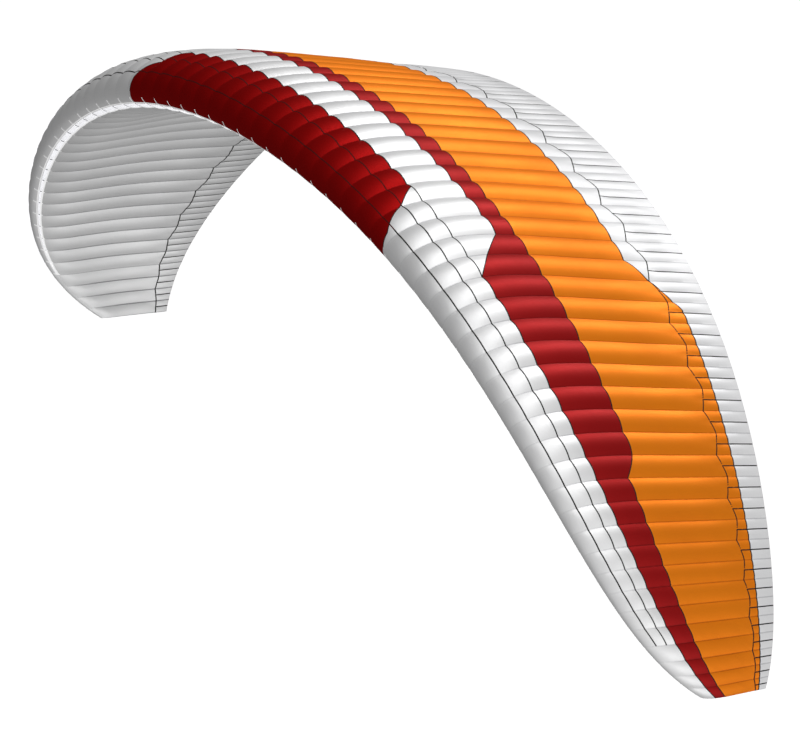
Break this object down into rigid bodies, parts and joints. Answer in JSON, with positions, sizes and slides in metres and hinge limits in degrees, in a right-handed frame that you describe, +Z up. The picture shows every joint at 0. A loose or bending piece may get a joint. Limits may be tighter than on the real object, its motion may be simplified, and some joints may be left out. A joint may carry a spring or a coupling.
{
  "type": "paraglider wing",
  "caption": "Inflated ram-air canopy, arched along its span, with ribbed cells, nose intakes and an upper skin in spanwise white, red and orange bands.",
  "frame": {"origin": "on the lower skin of the middle rib at 30 percent of its chord, where the suspension lines pull the hardest", "axes": "+X towards the right wing tip, +Y from the leading edge to the trailing edge, +Z up"},
  "size_m": [9.8886, 2.5245, 3.3992],
  "materials": {
    "white_cloth": "coated ripstop, satin",
    "pale_cloth": "coated ripstop, satin",
    "dark_red_cloth": "coated ripstop, satin",
    "red_cloth": "coated ripstop, satin",
    "orange_cloth": "coated ripstop, satin",
    "rib_cloth": "hard-finished ripstop"
  },
  "bodies": {
    "root": {"band_orange": "orange_cloth", "band_red": "red_cloth", "band_white": "white_cloth", "lower_skin": "pale_cloth", "lower_tip_left": "pale_cloth", "lower_tip_right": "pale_cloth", "nose_red": "dark_red_cloth", "nose_white_left": "white_cloth", "nose_white_right": "white_cloth", "rib_left_0": "rib_cloth", "rib_left_1": "rib_cloth", "rib_left_2": "rib_cloth", "rib_left_3": "rib_cloth", "rib_right_0": "rib_cloth", "rib_right_1": "rib_cloth", "rib_right_2": "rib_cloth", "rib_right_3": "rib_cloth", "ribs": "rib_cloth", "trailing_lower": "pale_cloth", "trailing_upper": "white_cloth"}
  },
  "joints": []
}
